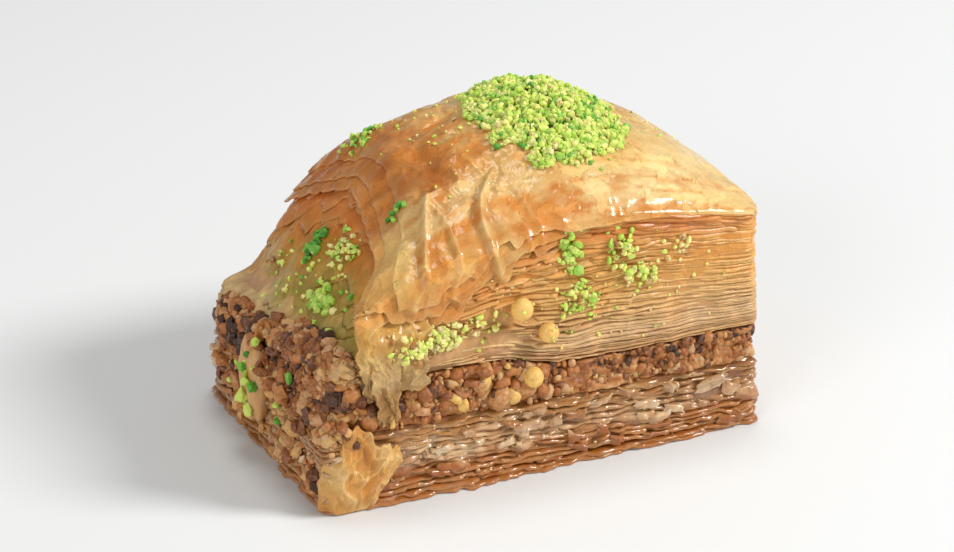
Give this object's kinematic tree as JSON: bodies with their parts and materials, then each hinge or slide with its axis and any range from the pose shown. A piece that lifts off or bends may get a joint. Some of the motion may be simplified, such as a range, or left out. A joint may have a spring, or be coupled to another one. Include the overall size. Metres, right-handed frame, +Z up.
{
  "type": "baklava piece",
  "caption": "Cut rectangular piece of layered nut pastry: soaked base, chopped-nut filling, domed stack of crisp leaves and a heap of ground pistachio.",
  "frame": {"origin": "middle of the footprint, on the surface that the piece rests on", "axes": "+X along the long cut side from left to right, +Y towards the back, +Z up; the long cut side that shows most looks along -Y"},
  "size_m": [0.05, 0.0332, 0.0362],
  "materials": {
    "soaked_pastry": "syrup-soaked pressed pastry leaves, amber and glossy",
    "nut_paste": "coarse chopped-nut paste, moist, with paler chunks",
    "crisp_pastry": "crisp buttered pastry leaves, satin, golden brown, with ground pistachio"
  },
  "bodies": {
    "root": {"base_pastry": "soaked_pastry", "nut_filling": "nut_paste", "top_pastry": "crisp_pastry"}
  },
  "joints": []
}
